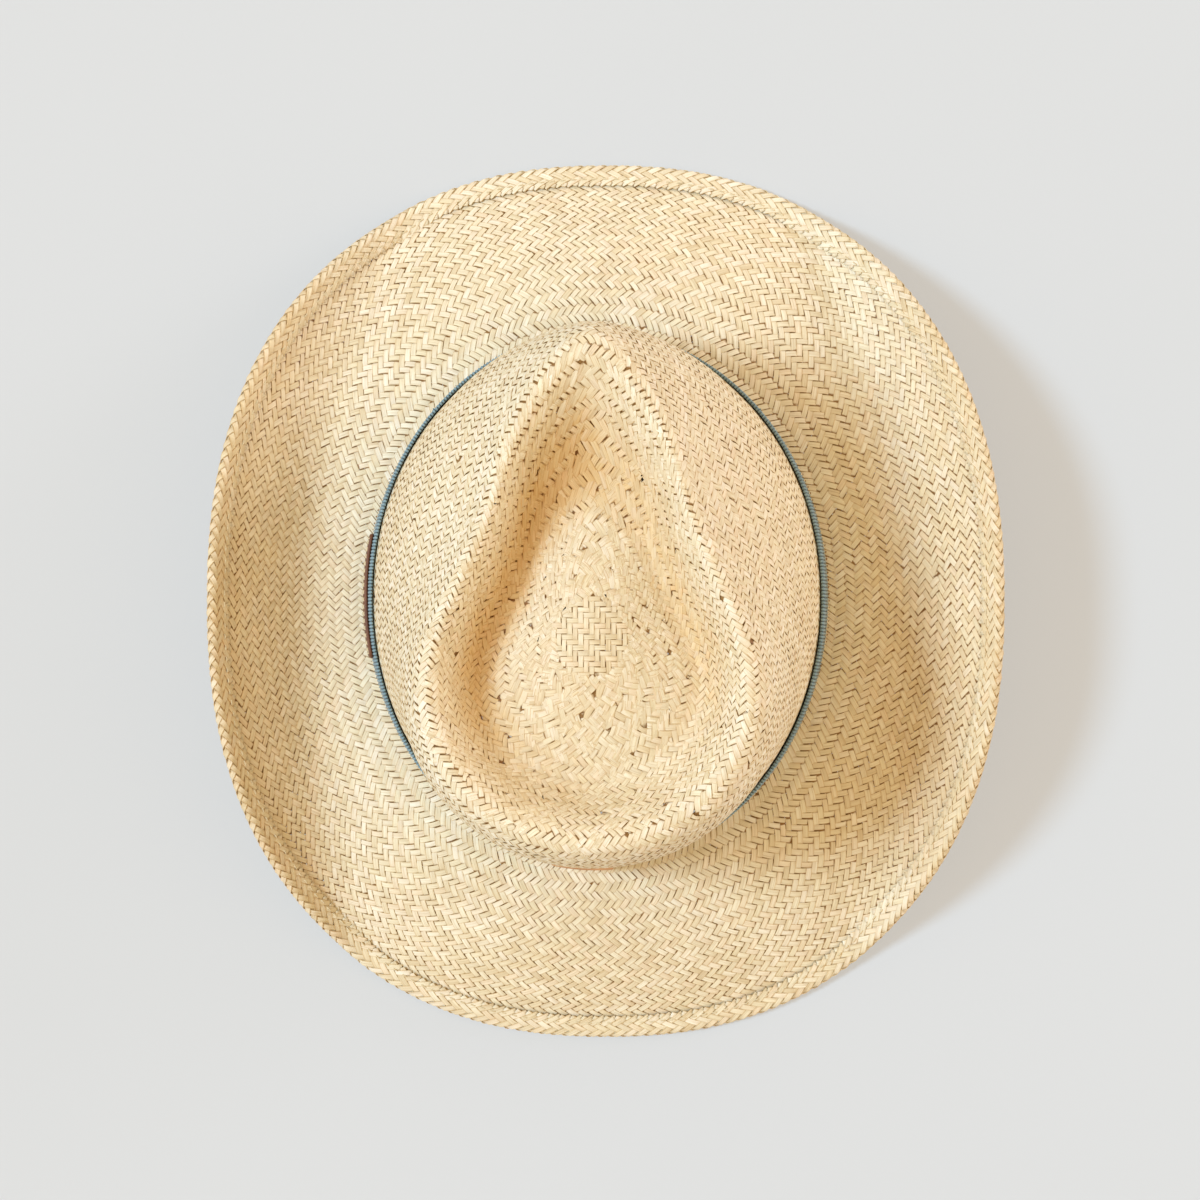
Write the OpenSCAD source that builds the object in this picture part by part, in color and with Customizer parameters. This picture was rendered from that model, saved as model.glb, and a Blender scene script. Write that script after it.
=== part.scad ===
// Woven straw cowboy hat with a pinched teardrop crown and a wired, curled brim.
// The front of the hat faces -Y and the wearer's left is +X. The hat stands on
// z = 0 on the front and back of its brim, with the origin in the middle.

/* [Head opening] */
// Half width of the head opening, inside the sweatband
head_half_w = 84; // [78:0.5:92]
// Half length of the head opening, inside the sweatband
head_half_l = 98; // [92:0.5:106]

/* [Crown] */
// Height of the ridge above the brim, at the front
crown_front_h = 110; // [100:1:122]
// Height of the ridge above the brim, at the sides
crown_side_h = 106; // [97:1:116]
// Height of the ridge above the brim, at the back
crown_back_h = 99; // [92:1:108]
// Depth of the front side pinches, as a share of the ridge's half width
pinch = 0.2; // [0:0.02:0.24]
// How far the crown stands off the brim's middle, towards the wearer's left
crown_shift_x = 3.6; // [0:0.2:6]
// How far the crown stands off the brim's middle, towards the back
crown_shift_y = -1; // [-6:0.2:6]
// How far the top of the crown leans towards the wearer's left
crown_lean = 3; // [0:0.5:6]

/* [Brim] */
// Half width of the brim
brim_half_w = 152.5; // [145:0.5:165]
// Half length of the brim
brim_half_l = 170.5; // [162:0.5:185]
// How far the front and back of the brim dip below the foot of the crown
brim_dip = 35; // [20:1:45]
// Where the side curls start, measured from the middle
curl_start = 115.5; // [111:0.5:126]
// Slope of the curl on the wearer's left, rise over run
curl_slope_left = 1.1; // [0.6:0.01:1.15]
// Slope of the curl on the wearer's right, rise over run
curl_slope_right = 0.87; // [0.6:0.01:1.15]

/* [Straw] */
// Thickness of the woven straw
straw_t = 1.1; // [0.9:0.1:1.4]
// Width of the hem folded over the brim's edge
hem_w = 7.5; // [6:0.5:10]
// Diameter of the wire in the hem
wire_d = 0.8; // [0.7:0.1:1.1]

/* [Sweatband] */
// Width of the sweatband
sweat_w = 34; // [26:1:38]
// Thickness of the sweatband
sweat_t = 0.9; // [0.7:0.1:1.1]

/* [Hat band] */
// Width of the ribbon
ribbon_w = 20; // [14:1:24]
// Thickness of the ribbon
ribbon_t = 1.4; // [0.8:0.1:1.6]
// Length of the leather patch on the wearer's left
patch_l = 48; // [36:1:60]
// Height of the leather patch
patch_h = 15; // [12:1:19]
// Length of the leather keeper at the back
keeper_l = 23; // [16:1:30]

/* [Fineness] */
// Sections around the straw body
round_steps = 56; // [36:4:64]
// Rings from the foot of the crown to its middle
crown_steps = 21; // [16:1:22]

/* [Hidden] */

gap = 0.15;             // clearance between neighbouring layers
lining_gap = 0.5;       // room between the straw and the sweatband, where the reed tape lies
band_steps = 96;        // sections around each ribbon, reed and wire
brim_power = 2.3;       // squareness of the brim's outline, where 2 is an ellipse
side_dip = 0.26;        // share of the brim's dip that is left at its sides
curl_soft = 3.6;        // softness of the bend where a curl starts
curl_front_in = 38;     // how far the bend runs inwards towards the front edge
curl_back_in = 17;      // how far the bend runs inwards towards the back edge
curl_reach = 150;       // the distance from the middle at which it has run so far
tear_tip = 0.16;        // roundness of the ridge's front tip
tear_scale = 1.15;      // widens the teardrop to the oval's own width at the back
front_full = 0.65;      // how much less the wall leans inwards towards the front
back_full = 0.7;        // and towards the back
drawn_h = 110;          // the front ridge's height that RINGS is drawn for
wall_rows_in = -30;     // the rings with less than this first value belong to the dent
pinch_at = 72;          // the angle from the front where each side pinch is deepest
pinch_spread = 27;      // how far each pinch spreads around the crown, in degrees
fold_r = straw_t / 2 + 0.8;    // radius of the fold around the wire, to the middle of the straw
foot_a = head_half_w + sweat_t + lining_gap + straw_t / 2;     // oval of the straw at the head line
foot_b = head_half_l + sweat_t + lining_gap + straw_t / 2;
foot_z = brim_dip;             // height of the crown's foot before the hat is set on z = 0

straw_colour = "#e8d3a2";
ribbon_colour = "#7f98a0";
patch_colour = "#7a4d36";
tan_colour = "#c8966a";
thread_colour = "#e4d3ae";
steel_colour = "#9aa0a4";
sweat_colour = "#b99b72";

// The crown's rings, from its foot to the middle of the dent's floor. Each row holds the
// half width and half length, less those of the foot, then the middle's place along Y, the
// height above the foot, its share in the ridge's rise and fall, and its share of teardrop.
RINGS = [
    [2.9, 2.8, 0, 0, 0, 0],
    [1.3, 1, 0, 2.6, 0, 0],
    [-0.2, 0.3, 0, 12, 0, 0],
    [-1.5, 0, -0.1, 23, 0, 0],
    [-6.3, 1.3, -1.2, 44, 0.1, 0.12],
    [-10.2, 1.3, -1.2, 66, 0.35, 0.38],
    [-13.8, 0.5, -1.2, 86, 0.7, 0.72],
    [-17.8, -2.2, -1.2, 101, 0.92, 0.94],
    [-22, -6.5, -1.2, 108.6, 1, 1],
    [-27, -13.1, -0.2, 108.8, 1, 1],
    [-32.5, -22.7, 2.8, 100, 0.95, 1],
    [-38, -33.2, 6.8, 89.5, 0.8, 1],
    [-44.5, -45.2, 11.3, 83, 0.5, 1],
    [-53, -56.7, 13.3, 84, 0.35, 0.9],
    [-63.7, -70.7, 13.8, 86.5, 0.2, 0.7],
    [-74.7, -85.2, 14, 88.8, 0.08, 0.4],
    [-84.2, -98, 14.1, 89.6, 0, 0]];

// Vector and curve helpers
function unit(v) = v / norm(v);
function soft_ramp(d, w) = d > 12 * w ? d : w * ln(1 + exp(d / w));
function signed_pow(v, p) = sign(v) * pow(abs(v), p);
function spline(p0, p1, p2, p3, k) =
    0.5 * (2 * p1 + (p2 - p0) * k + (2 * p0 - 5 * p1 + 4 * p2 - p3) * k * k
           + (3 * p1 - p0 - 3 * p2 + p3) * k * k * k);
function ring_row(i) = RINGS[max(0, min(len(RINGS) - 1, i))];
function ring_at(u) =
    let (i = min(floor(u), len(RINGS) - 2))
    spline(ring_row(i - 1), ring_row(i), ring_row(i + 1), ring_row(i + 2), u - i);

// Crown. The angle t runs from 0 at the front through 90 on the wearer's left.
function ridge_h(t) =
    (crown_front_h + crown_back_h) / 2 + (crown_front_h - crown_back_h) / 2 * cos(t)
    + (crown_side_h - (crown_front_h + crown_back_h) / 2) * pow(sin(t), 2);
function teardrop(t) =
    let (from_front = min(t, 360 - t))
    tear_scale * sqrt(pow(sin(t / 2), 2) + tear_tip)
    * (1 - pinch * exp(-pow((from_front - pinch_at) / pinch_spread, 2)));
function half_width(t, r) =
    let (lean = r[0] > wall_rows_in ? min(r[0], 0) * (1 - r[5]) : 0)
    foot_a + r[0] - lean * (cos(t) > 0 ? front_full * cos(t) : -back_full * cos(t));
function crown_at(t, u) =
    let (r = ring_at(u), a = half_width(t, r), b = foot_b + r[1])
    [crown_shift_x + crown_lean * pow(r[3] / drawn_h, 2) + a * sin(t) * (1 - r[5] + r[5] * teardrop(t)),
     crown_shift_y + r[2] - b * cos(t),
     foot_z + r[3] * crown_front_h / drawn_h + r[4] * (ridge_h(t) - crown_front_h)];

// Crown wall: the point at height h above the foot, moved out by off
WALL_U = [for (i = [0:8]) [RINGS[i][3], i]];
function wall_at(t, h, off) =
    let (u = lookup(h, WALL_U), r = ring_at(u), p = crown_at(t, u),
         n = unit([sin(t) / half_width(t, r), -cos(t) / (foot_b + r[1]), 0]))
    [p[0] + n[0] * off, p[1] + n[1] * off, foot_z + h];

// Brim. The share f runs from 0 at the crown to 1 at the edge.
function brim_edge(t) =
    [(brim_half_w - straw_t / 2) * signed_pow(sin(t), 2 / brim_power),
     -(brim_half_l - straw_t / 2) * signed_pow(cos(t), 2 / brim_power)];
function curl_line(y) =
    curl_start - (y < 0 ? curl_front_in : curl_back_in) * pow(y / curl_reach, 2);
function curl_h(x, y) =
    (x > 0 ? curl_slope_left : curl_slope_right) * soft_ramp(abs(x) - curl_line(y), curl_soft);
function brim_at(t, f) =
    let (foot = crown_at(t, 0), edge = brim_edge(t),
         x = foot[0] + f * (edge[0] - foot[0]),
         y = foot[1] + f * (edge[1] - foot[1]),
         dip = brim_dip * (1 - (1 - side_dip) * pow(sin(t), 4)))
    [x, y, foot_z - dip * (0.55 * f + 0.45 * f * f) + curl_h(x, y)];

// The frame of the brim's edge: the outward way along the straw and the straw's upper side
fold_in = 0.975;
function edge_out(t) = unit(brim_at(t, fold_in) - brim_at(t, fold_in - 0.02));
function edge_up(t) =
    unit(cross(brim_at(t + 1, fold_in) - brim_at(t - 1, fold_in), -edge_out(t)));
function hem_at(t, out, up) = brim_at(t, fold_in) + edge_out(t) * out + edge_up(t) * up;

// The straw's middle surface along one angle: hem, fold, brim, crown
HEM_PATH = concat(
    [for (s = [1, 0.5]) [0.5 - hem_w * s, straw_t + gap + (2 * fold_r - straw_t - gap) * (1 - s)]],
    [for (a = [90:-45:-45]) [0.5 + fold_r * cos(a), fold_r + fold_r * sin(a)]]);
BRIM_SHARES = [fold_in, 0.86, 0.74, 0.6, 0.45, 0.3, 0.15];
function straw_line(t) = concat(
    [for (p = HEM_PATH) hem_at(t, p[0], p[1])],
    [for (f = BRIM_SHARES) brim_at(t, f)],
    [for (i = [0:crown_steps]) crown_at(t, i * (len(RINGS) - 1) / crown_steps)]);

ANGLES = [for (j = [0:round_steps - 1]) j * 360 / round_steps];
GRID = [for (t = ANGLES) straw_line(t)];
LINE_LEN = len(GRID[0]);
function grid(j, i) = GRID[(j + round_steps) % round_steps][max(0, min(LINE_LEN - 1, i))];
function straw_normal(j, i) =
    unit(cross(grid(j + 1, i) - grid(j - 1, i), grid(j, i + 1) - grid(j, i - 1)));
OUTER = [for (j = [0:round_steps - 1]) for (i = [0:LINE_LEN - 1])
         grid(j, i) + straw_normal(j, i) * straw_t / 2];
INNER = [for (j = [0:round_steps - 1]) for (i = [0:LINE_LEN - 1])
         grid(j, i) - straw_normal(j, i) * straw_t / 2];
STRAW = concat(OUTER, INNER);
function lowest(axis) = min([for (p = STRAW) p[axis]]);
function highest(axis) = max([for (p = STRAW) p[axis]]);
SEAT = [-(lowest(0) + highest(0)) / 2, -(lowest(1) + highest(1)) / 2, -lowest(2)];

// A closed ring, or an open strip, swept through sections that all have the same number of points
module sweep(sections, closed) {
    n = len(sections);
    m = len(sections[0]);
    last = closed ? n - 1 : n - 2;
    sides = [for (j = [0:last]) for (i = [0:m - 1])
             let (j2 = (j + 1) % n, i2 = (i + 1) % m)
             each [[j * m + i, j2 * m + i, j2 * m + i2], [j * m + i, j2 * m + i2, j * m + i2]]];
    caps = closed ? [] : [[for (i = [0:m - 1]) i], [for (i = [m - 1:-1:0]) (n - 1) * m + i]];
    polyhedron([for (s = sections) each s], concat(sides, caps));
}

// A rectangular section on the crown wall, from height h0 to h1 and from off0 to off1
function wall_section(t, h0, h1, off0, off1) =
    [wall_at(t, h0, off0), wall_at(t, h0, off1), wall_at(t, (h0 + h1) / 2, off1),
     wall_at(t, h1, off1), wall_at(t, h1, off0), wall_at(t, (h0 + h1) / 2, off0)];
module wall_ring(h0, h1, off0, off1) {
    sweep([for (j = [0:band_steps - 1])
           wall_section(j * 360 / band_steps, h0, h1, off0, off1)], true);
}
module wall_strip(t0, t1, steps, h0, h1, off0, off1) {
    sweep([for (j = [0:steps]) wall_section(t0 + (t1 - t0) * j / steps, h0, h1, off0, off1)], false);
}

// One stitch lying on a face: from p to q, with up as the face's outward way
stitch_w = 0.6;
stitch_t = 0.35;
stitch_lift = 0.06;
module stitch(p, q, up) {
    side = unit(cross(q - p, up)) * stitch_w / 2;
    base = up * stitch_lift;
    top = base + up * stitch_t;
    sweep([for (e = [p, q]) [e - side + base, e + side + base, e + side + top, e - side + top]], false);
}

// A run of stitches along the crown wall, at height h, on the face that lies off the straw's
// middle surface by off. Each stitch covers its share of the room it has.
module wall_stitches(t0, t1, count, share, h, off) {
    step = (t1 - t0) / count;
    for (k = [0:count - 1]) {
        t = t0 + (k + 0.5) * step;
        face = unit(wall_at(t, h, off) - wall_at(t, h, 0));
        stitch(wall_at(t - step * share / 2, h, off), wall_at(t + step * share / 2, h, off), face);
    }
}

// Upright stitches across the crown wall at the angle t
module upright_stitches(t, h0, h1, count, share, off) {
    step = (h1 - h0) / count;
    face = unit(wall_at(t, h0, off) - wall_at(t, h0, 0));
    for (k = [0:count - 1]) {
        h = h0 + (k + 0.5) * step;
        stitch(wall_at(t, h - step * share / 2, off), wall_at(t, h + step * share / 2, off), face);
    }
}

module straw_body() {
    n = round_steps;
    m = LINE_LEN;
    inner = n * m;
    middle = 2 * n * m;
    outer_top = [for (j = [0:n - 1]) OUTER[j * m + m - 1]];
    inner_top = [for (j = [0:n - 1]) INNER[j * m + m - 1]];
    function mean(list) = [for (p = list) 1] * list / len(list);
    function at(j, i) = (j % n) * m + i;
    faces = [for (j = [0:n - 1]) each concat(
        [for (i = [0:m - 2]) each [[at(j, i), at(j, i + 1), at(j + 1, i + 1)],
                                   [at(j, i), at(j + 1, i + 1), at(j + 1, i)],
                                   [inner + at(j, i), inner + at(j + 1, i + 1), inner + at(j, i + 1)],
                                   [inner + at(j, i), inner + at(j + 1, i), inner + at(j + 1, i + 1)]]],
        [[at(j, 0), at(j + 1, 0), inner + at(j + 1, 0)],
         [at(j, 0), inner + at(j + 1, 0), inner + at(j, 0)],
         [at(j, m - 1), middle, at(j + 1, m - 1)],
         [inner + at(j, m - 1), inner + at(j + 1, m - 1), middle + 1]])];
    color(straw_colour) translate(SEAT)
        polyhedron(concat(STRAW, [mean(outer_top), mean(inner_top)]), faces);
}

// The wire runs inside the hem's fold, and its two ends meet inside the sleeve, at the back
wire_break = 0.3;
sleeve_clear = 0.04;
sleeve_wall = 0.18;
sleeve_turn = 4;        // half the sleeve's length, in degrees around the brim
function wire_section(t, r) =
    [for (a = [0:45:315]) hem_at(t, 0.5 + r * cos(a), fold_r + r * sin(a))];
module brim_wire() {
    angles = concat([180 + wire_break], [for (t = ANGLES) if (t > 180) t],
                    [for (t = ANGLES) if (t < 180) t + 360], [540 - wire_break]);
    color(steel_colour) translate(SEAT)
        sweep([for (t = angles) wire_section(t, wire_d / 2)], false);
}
module brim_wire_sleeve() {
    inner_r = wire_d / 2 + sleeve_clear;
    outer_r = inner_r + sleeve_wall;
    arc = [20:40:340];
    color("silver") translate(SEAT)
        sweep([for (t = [180 - sleeve_turn:1:180 + sleeve_turn]) concat(
            [for (a = arc) hem_at(t, 0.5 + outer_r * cos(a), fold_r + outer_r * sin(a))],
            [for (a = arc) hem_at(t, 0.5 + inner_r * cos(360 - a), fold_r + inner_r * sin(360 - a))])],
            false);
}

// Stitches on the hem's upper face, near its cut edge
hem_stitch_in = 0.45;           // place across the hem's inner half, from its cut edge
hem_stitch_spans = [[0.06, 0.44], [0.56, 0.94]];
module hem_stitching() {
    n = round_steps;
    function face(j, s) = let (a = INNER[(j % n) * LINE_LEN], b = INNER[(j % n) * LINE_LEN + 1])
        a + s * (b - a);
    color(thread_colour) translate(SEAT)
        for (j = [0:n - 1]) {
            a = face(j, hem_stitch_in);
            b = face(j + 1, hem_stitch_in);
            up = unit(cross(b - a, face(j, 0) - face(j, 1)));
            for (s = hem_stitch_spans)
                stitch(a + s[0] * (b - a), a + s[1] * (b - a), up);
        }
}

// Layers inside the crown, as distances inwards from the straw's middle surface
tape_t = 0.2;
tape_out = straw_t / 2 + gap;
sweat_out = straw_t / 2 + lining_gap;
sweat_in = sweat_out + sweat_t;
sweat_h0 = 2.4;
module sweatband() {
    color(sweat_colour) translate(SEAT)
        wall_ring(sweat_h0, sweat_h0 + sweat_w, -sweat_in, -sweat_out);
}

// The reed and the tape that wraps it, with the tape's flange behind the sweatband
reed_r = 0.7;
reed_off = tape_out + 1;
reed_h = 0.6;
function reed_point(t, off, up) = wall_at(t, 2.6, off) + [0, 0, up - 2.6];
module sweatband_reed() {
    color("ivory") translate(SEAT)
        sweep([for (t = ANGLES) [for (a = [0:45:315])
            reed_point(t, -reed_off + reed_r * cos(a), reed_h + reed_r * sin(a))]], true);
}
module reed_tape() {
    tape_top = 8;
    wrap = [0:-52:-260];
    function around(t, r, a) = reed_point(t, -reed_off + r * cos(a), reed_h + r * sin(a));
    color("#4f4a44") translate(SEAT)
        sweep([for (t = ANGLES) concat(
            [wall_at(t, tape_top, -tape_out)],
            [for (a = wrap) around(t, 1, a)],
            [for (a = wrap) around(t, 1 - tape_t, -260 - a)],
            [wall_at(t, tape_top, -tape_out - tape_t)])], true);
}
sweat_stitch_count = 112;
module sweatband_stitching() {
    color(thread_colour) translate(SEAT)
        wall_stitches(0, 360, sweat_stitch_count, 0.6, sweat_h0 + 1.8, -sweat_in);
}

// The tape over the sweatband's rear joint, the bow on it, and the blank tag beside it
back_scale = 1.52;      // millimetres along the crown's foot per degree, at the back
side_scale = 1.79;      // and at the side
joint_t = 0.5;
joint_off = sweat_in + 0.1;
joint_turn = 2.8;       // half the tape's width, in degrees
module sweatband_joint() {
    color("#8f7350") translate(SEAT)
        wall_strip(180 - joint_turn, 180 + joint_turn, 6, sweat_h0 + 3.4, sweat_h0 + sweat_w - 0.4,
                   -joint_off - joint_t, -joint_off);
}
bow_h = 27;
bow_w = 4.5;
bow_t = 0.4;
bow_reach = 13;
bow_depth = 3.4;
bow_steps = 15;
bow_knot = 1.2;         // half the knot's width, in degrees around the crown
// A loop goes out along the band from the knot and comes back, with its ribbon on edge. The
// share keep is 1 on the ribbon's outer face and less on its inner face.
function bow_point(way, a, keep, h) =
    let (s = bow_reach * (1 - cos(a)) / 2,
         d = bow_depth / 2 * sin(a) * (0.25 + 0.75 * s / bow_reach),
         s_mid = 0.6 * bow_reach,
         along = s_mid + keep * (s - s_mid))
    wall_at(180 + way * (bow_knot + 0.1 + along / back_scale), h,
            keep * d - joint_off - joint_t - 0.4 - bow_depth / 2);
module bow_loop(way) {
    low = bow_h - bow_w / 2;
    high = bow_h + bow_w / 2;
    sweep([for (k = [0:bow_steps - 1]) let (a = way * k * 360 / bow_steps)
           [bow_point(way, a, 1, low), bow_point(way, a, 1, high),
            bow_point(way, a, 0.8, high), bow_point(way, a, 0.8, low)]], true);
}
module sweatband_bow() {
    near = joint_off + joint_t + 0.2;
    knot_t = bow_depth + 0.6;
    tail_t = 0.4;
    tail_w = 4;
    tail_turn = 5;
    tail_h = bow_h - bow_w / 2 - 1.2;
    color("#3d3a38") translate(SEAT) {
        for (way = [-1, 1])
            bow_loop(way);
        for (t = [180 - 0.4 - tail_turn, 180 + 0.4])
            wall_strip(t, t + tail_turn, 4, tail_h - tail_w, tail_h, -near - tail_t, -near);
        wall_strip(180 - bow_knot, 180 + bow_knot, 3, tail_h + 0.1, bow_h + bow_w / 2 + 0.8,
                   -near - knot_t, -near);
    }
}
tag_from = 190;
tag_to = 202;
tag_h0 = 16;
tag_h1 = 28;
tag_t = 0.4;
module size_tag() {
    color("white") translate(SEAT)
        wall_strip(tag_from, tag_to, 6, tag_h0, tag_h1, -joint_off - tag_t, -joint_off);
}

// Ribbon, patch and keeper outside the crown
ribbon_h0 = 3.2;
ribbon_off = straw_t / 2 + gap;
patch_off = ribbon_off + ribbon_t + 0.1;
patch_t = 1.2;
patch_h0 = ribbon_h0 + 1;
patch_mid = 89.4;       // the angle of the patch's middle
patch_turn = patch_l / side_scale / 2;
keeper_mid = 176.5;     // the angle of the keeper's middle
keeper_turn = keeper_l / back_scale / 2;
keeper_t = 1.3;
keeper_over = 1.4;      // how far the keeper reaches past each edge of the ribbon
tack_l = 2.6;
module hat_band() {
    color(ribbon_colour) translate(SEAT)
        wall_ring(ribbon_h0, ribbon_h0 + ribbon_w, ribbon_off, ribbon_off + ribbon_t);
}
module band_tacks() {
    color("#6f858d") translate(SEAT)
        for (t = [0, 45, 135, 225, 270, 315])
            upright_stitches(t, ribbon_h0 + ribbon_w - 0.4 - tack_l, ribbon_h0 + ribbon_w - 0.4, 1, 1,
                             ribbon_off + ribbon_t);
}
module side_patch() {
    color(patch_colour) translate(SEAT)
        wall_strip(patch_mid - patch_turn, patch_mid + patch_turn, 18, patch_h0, patch_h0 + patch_h,
                   patch_off, patch_off + patch_t);
}
module side_patch_stitching() {
    inset = 2;
    turn = patch_turn - inset / side_scale;
    off = patch_off + patch_t;
    color(thread_colour) translate(SEAT) {
        for (h = [patch_h0 + inset, patch_h0 + patch_h - inset])
            wall_stitches(patch_mid - turn, patch_mid + turn, 13, 0.62, h, off);
        for (t = [patch_mid - turn, patch_mid + turn])
            upright_stitches(t, patch_h0 + inset + 0.6, patch_h0 + patch_h - inset - 0.6, 4, 0.62, off);
    }
}
module rear_keeper() {
    h0 = ribbon_h0 - 0.2;
    h1 = ribbon_h0 + ribbon_w + 0.2;
    in = ribbon_off + 0.05;
    under = ribbon_off + ribbon_t + 0.1;
    out = under + keeper_t;
    color(tan_colour) translate(SEAT)
        sweep([for (k = [0:10]) let (t = keeper_mid + keeper_turn * (k / 5 - 1))
            [wall_at(t, h0 - keeper_over, in), wall_at(t, h0 - keeper_over, out),
             wall_at(t, h1 + keeper_over, out), wall_at(t, h1 + keeper_over, in), wall_at(t, h1, in),
             wall_at(t, h1, under), wall_at(t, h0, under), wall_at(t, h0, in)]], false);
}
module rear_keeper_stitching() {
    off = ribbon_off + ribbon_t + 0.1 + keeper_t;
    color(thread_colour) translate(SEAT)
        for (side = [-1, 1])
            upright_stitches(keeper_mid + side * (keeper_turn - 1.3), ribbon_h0 + 0.6,
                             ribbon_h0 + ribbon_w - 0.6, 6, 0.6, off);
}

straw_body();
brim_wire();
brim_wire_sleeve();
hem_stitching();
sweatband();
sweatband_reed();
reed_tape();
sweatband_stitching();
sweatband_joint();
sweatband_bow();
size_tag();
hat_band();
band_tacks();
side_patch();
side_patch_stitching();
rear_keeper();
rear_keeper_stitching();
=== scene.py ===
"""Looks of the woven straw cowboy hat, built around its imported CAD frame.

Lengths in the shape functions are millimetres, as in the CAD model, and MM turns them into
metres when a mesh is made. The hat's front faces -Y and the wearer's left is +X.
"""

import math

import bpy
import numpy as np
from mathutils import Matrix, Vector


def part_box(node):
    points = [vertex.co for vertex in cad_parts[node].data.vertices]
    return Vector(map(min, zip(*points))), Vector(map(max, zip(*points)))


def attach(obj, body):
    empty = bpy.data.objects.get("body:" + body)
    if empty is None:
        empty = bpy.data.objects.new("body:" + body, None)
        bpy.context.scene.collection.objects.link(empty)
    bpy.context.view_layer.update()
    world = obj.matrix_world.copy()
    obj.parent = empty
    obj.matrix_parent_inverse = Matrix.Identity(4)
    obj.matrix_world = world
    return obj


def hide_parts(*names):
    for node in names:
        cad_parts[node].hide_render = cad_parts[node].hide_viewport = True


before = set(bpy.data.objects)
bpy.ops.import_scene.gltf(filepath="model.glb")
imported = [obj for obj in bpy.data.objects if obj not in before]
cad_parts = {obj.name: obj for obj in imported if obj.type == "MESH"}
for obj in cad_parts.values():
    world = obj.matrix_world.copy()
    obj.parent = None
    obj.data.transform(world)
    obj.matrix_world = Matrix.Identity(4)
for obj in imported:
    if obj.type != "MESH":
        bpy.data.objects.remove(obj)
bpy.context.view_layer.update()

MM = 0.001
rng = np.random.default_rng(31)

# ---------------------------------------------------------------- the hat's shape, as in CAD

HEAD_HALF_W, HEAD_HALF_L = 84.0, 98.0
SWEAT_T, LINING_GAP, STRAW_T, GAP = 0.9, 0.5, 1.1, 0.15
CROWN_FRONT_H, CROWN_SIDE_H, CROWN_BACK_H = 110.0, 106.0, 99.0
CROWN_SHIFT, CROWN_LEAN = (3.6, -1.0), 3.0
PINCH, PINCH_AT, PINCH_SPREAD = 0.2, 72.0, 27.0         # share, and degrees from the front
TEAR_TIP, TEAR_SCALE = 0.16, 1.15
BACK_FULL, FRONT_FULL, WALL_ROWS_IN = 0.7, 0.65, -30
BRIM_HALF_W, BRIM_HALF_L, BRIM_POWER, BRIM_DIP, SIDE_DIP = 152.5, 170.5, 2.3, 35.0, 0.26
CURL_START, CURL_SOFT, CURL_REACH = 115.5, 3.6, 150.0
CURL_FRONT_IN, CURL_BACK_IN = 38.0, 17.0
CURL_SLOPE_LEFT, CURL_SLOPE_RIGHT = 1.1, 0.87
DIP_EVEN = 0.55          # the share of the dip that grows evenly; the rest grows with the square
HEM_W, FOLD_IN = 7.5, 0.975
WIRE_ROOM = 0.8          # between the wire's middle and the fold's inner face
FOLD_R = STRAW_T / 2 + WIRE_ROOM
FOOT_A = HEAD_HALF_W + SWEAT_T + LINING_GAP + STRAW_T / 2
FOOT_B = HEAD_HALF_L + SWEAT_T + LINING_GAP + STRAW_T / 2
FOOT_Z = BRIM_DIP
# Each row: half width and half length past the foot's, shift to the back, height above the foot,
# share of the ridge's rise and fall, share of the teardrop
RINGS = np.array([
    (2.9, 2.8, 0, 0, 0, 0),
    (1.3, 1, 0, 2.6, 0, 0),
    (-0.2, 0.3, 0, 12, 0, 0),
    (-1.5, 0, -0.1, 23, 0, 0),
    (-6.3, 1.3, -1.2, 44, 0.1, 0.12),
    (-10.2, 1.3, -1.2, 66, 0.35, 0.38),
    (-13.8, 0.5, -1.2, 86, 0.7, 0.72),
    (-17.8, -2.2, -1.2, 101, 0.92, 0.94),
    (-22, -6.5, -1.2, 108.6, 1, 1),
    (-27, -13.1, -0.2, 108.8, 1, 1),
    (-32.5, -22.7, 2.8, 100, 0.95, 1),
    (-38, -33.2, 6.8, 89.5, 0.8, 1),
    (-44.5, -45.2, 11.3, 83, 0.5, 1),
    (-53, -56.7, 13.3, 84, 0.35, 0.9),
    (-63.7, -70.7, 13.8, 86.5, 0.2, 0.7),
    (-74.7, -85.2, 14, 88.8, 0.08, 0.4),
    (-84.2, -98, 14.1, 89.6, 0, 0)])
LAST_RING = len(RINGS) - 1

# Ribbon, patch and keeper, as in CAD
RIBBON_H0, RIBBON_W, RIBBON_T = 3.2, 20.0, 1.4
RIBBON_OFF = STRAW_T / 2 + GAP
PATCH_OFF, PATCH_T = RIBBON_OFF + RIBBON_T + 0.1, 1.2
PATCH_L, PATCH_H, PATCH_H0, PATCH_MID = 48.0, 15.0, RIBBON_H0 + 1, 89.4
KEEPER_L, KEEPER_MID, KEEPER_T, KEEPER_OVER = 23.0, 176.5, 1.3, 1.4
SWEAT_W, SWEAT_H0 = 34.0, 2.4
SWEAT_OUT = STRAW_T / 2 + LINING_GAP
SWEAT_IN = SWEAT_OUT + SWEAT_T
JOINT_OFF, JOINT_T = SWEAT_IN + 0.1, 0.5
SIDE_MM_PER_DEG, BACK_MM_PER_DEG = 1.79, 1.52


def rad(t):
    return np.radians(t)


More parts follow.
